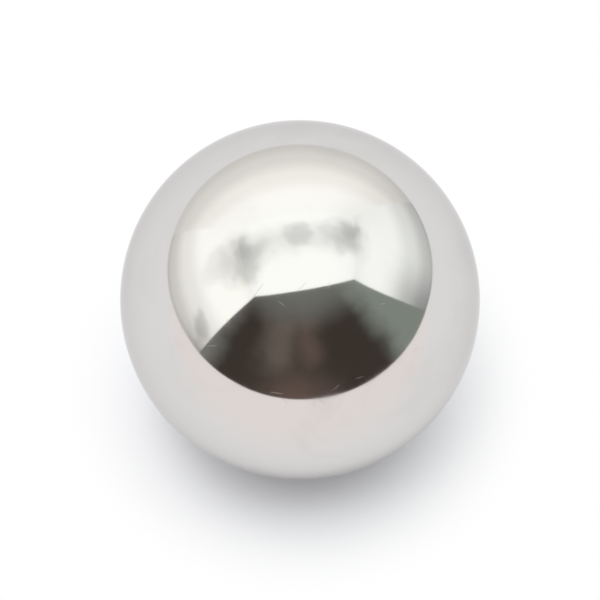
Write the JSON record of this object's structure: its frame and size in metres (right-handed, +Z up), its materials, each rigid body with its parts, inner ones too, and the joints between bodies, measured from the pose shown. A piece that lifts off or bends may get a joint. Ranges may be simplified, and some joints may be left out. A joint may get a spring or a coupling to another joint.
{
  "type": "steel ball",
  "caption": "Solid round steel ball with a mirror-polished surface, which rolls freely or sits in a race, cup or magnet.",
  "frame": {"origin": "centre of the ball", "axes": "+Z up, through the ball's lowest and highest points; the ball is the same about every axis, so +X and +Y only complete the frame"},
  "size_m": [0.008, 0.008, 0.008],
  "materials": {
    "polished_steel": "polished"
  },
  "bodies": {
    "root": {"ball": "polished_steel"}
  },
  "joints": []
}
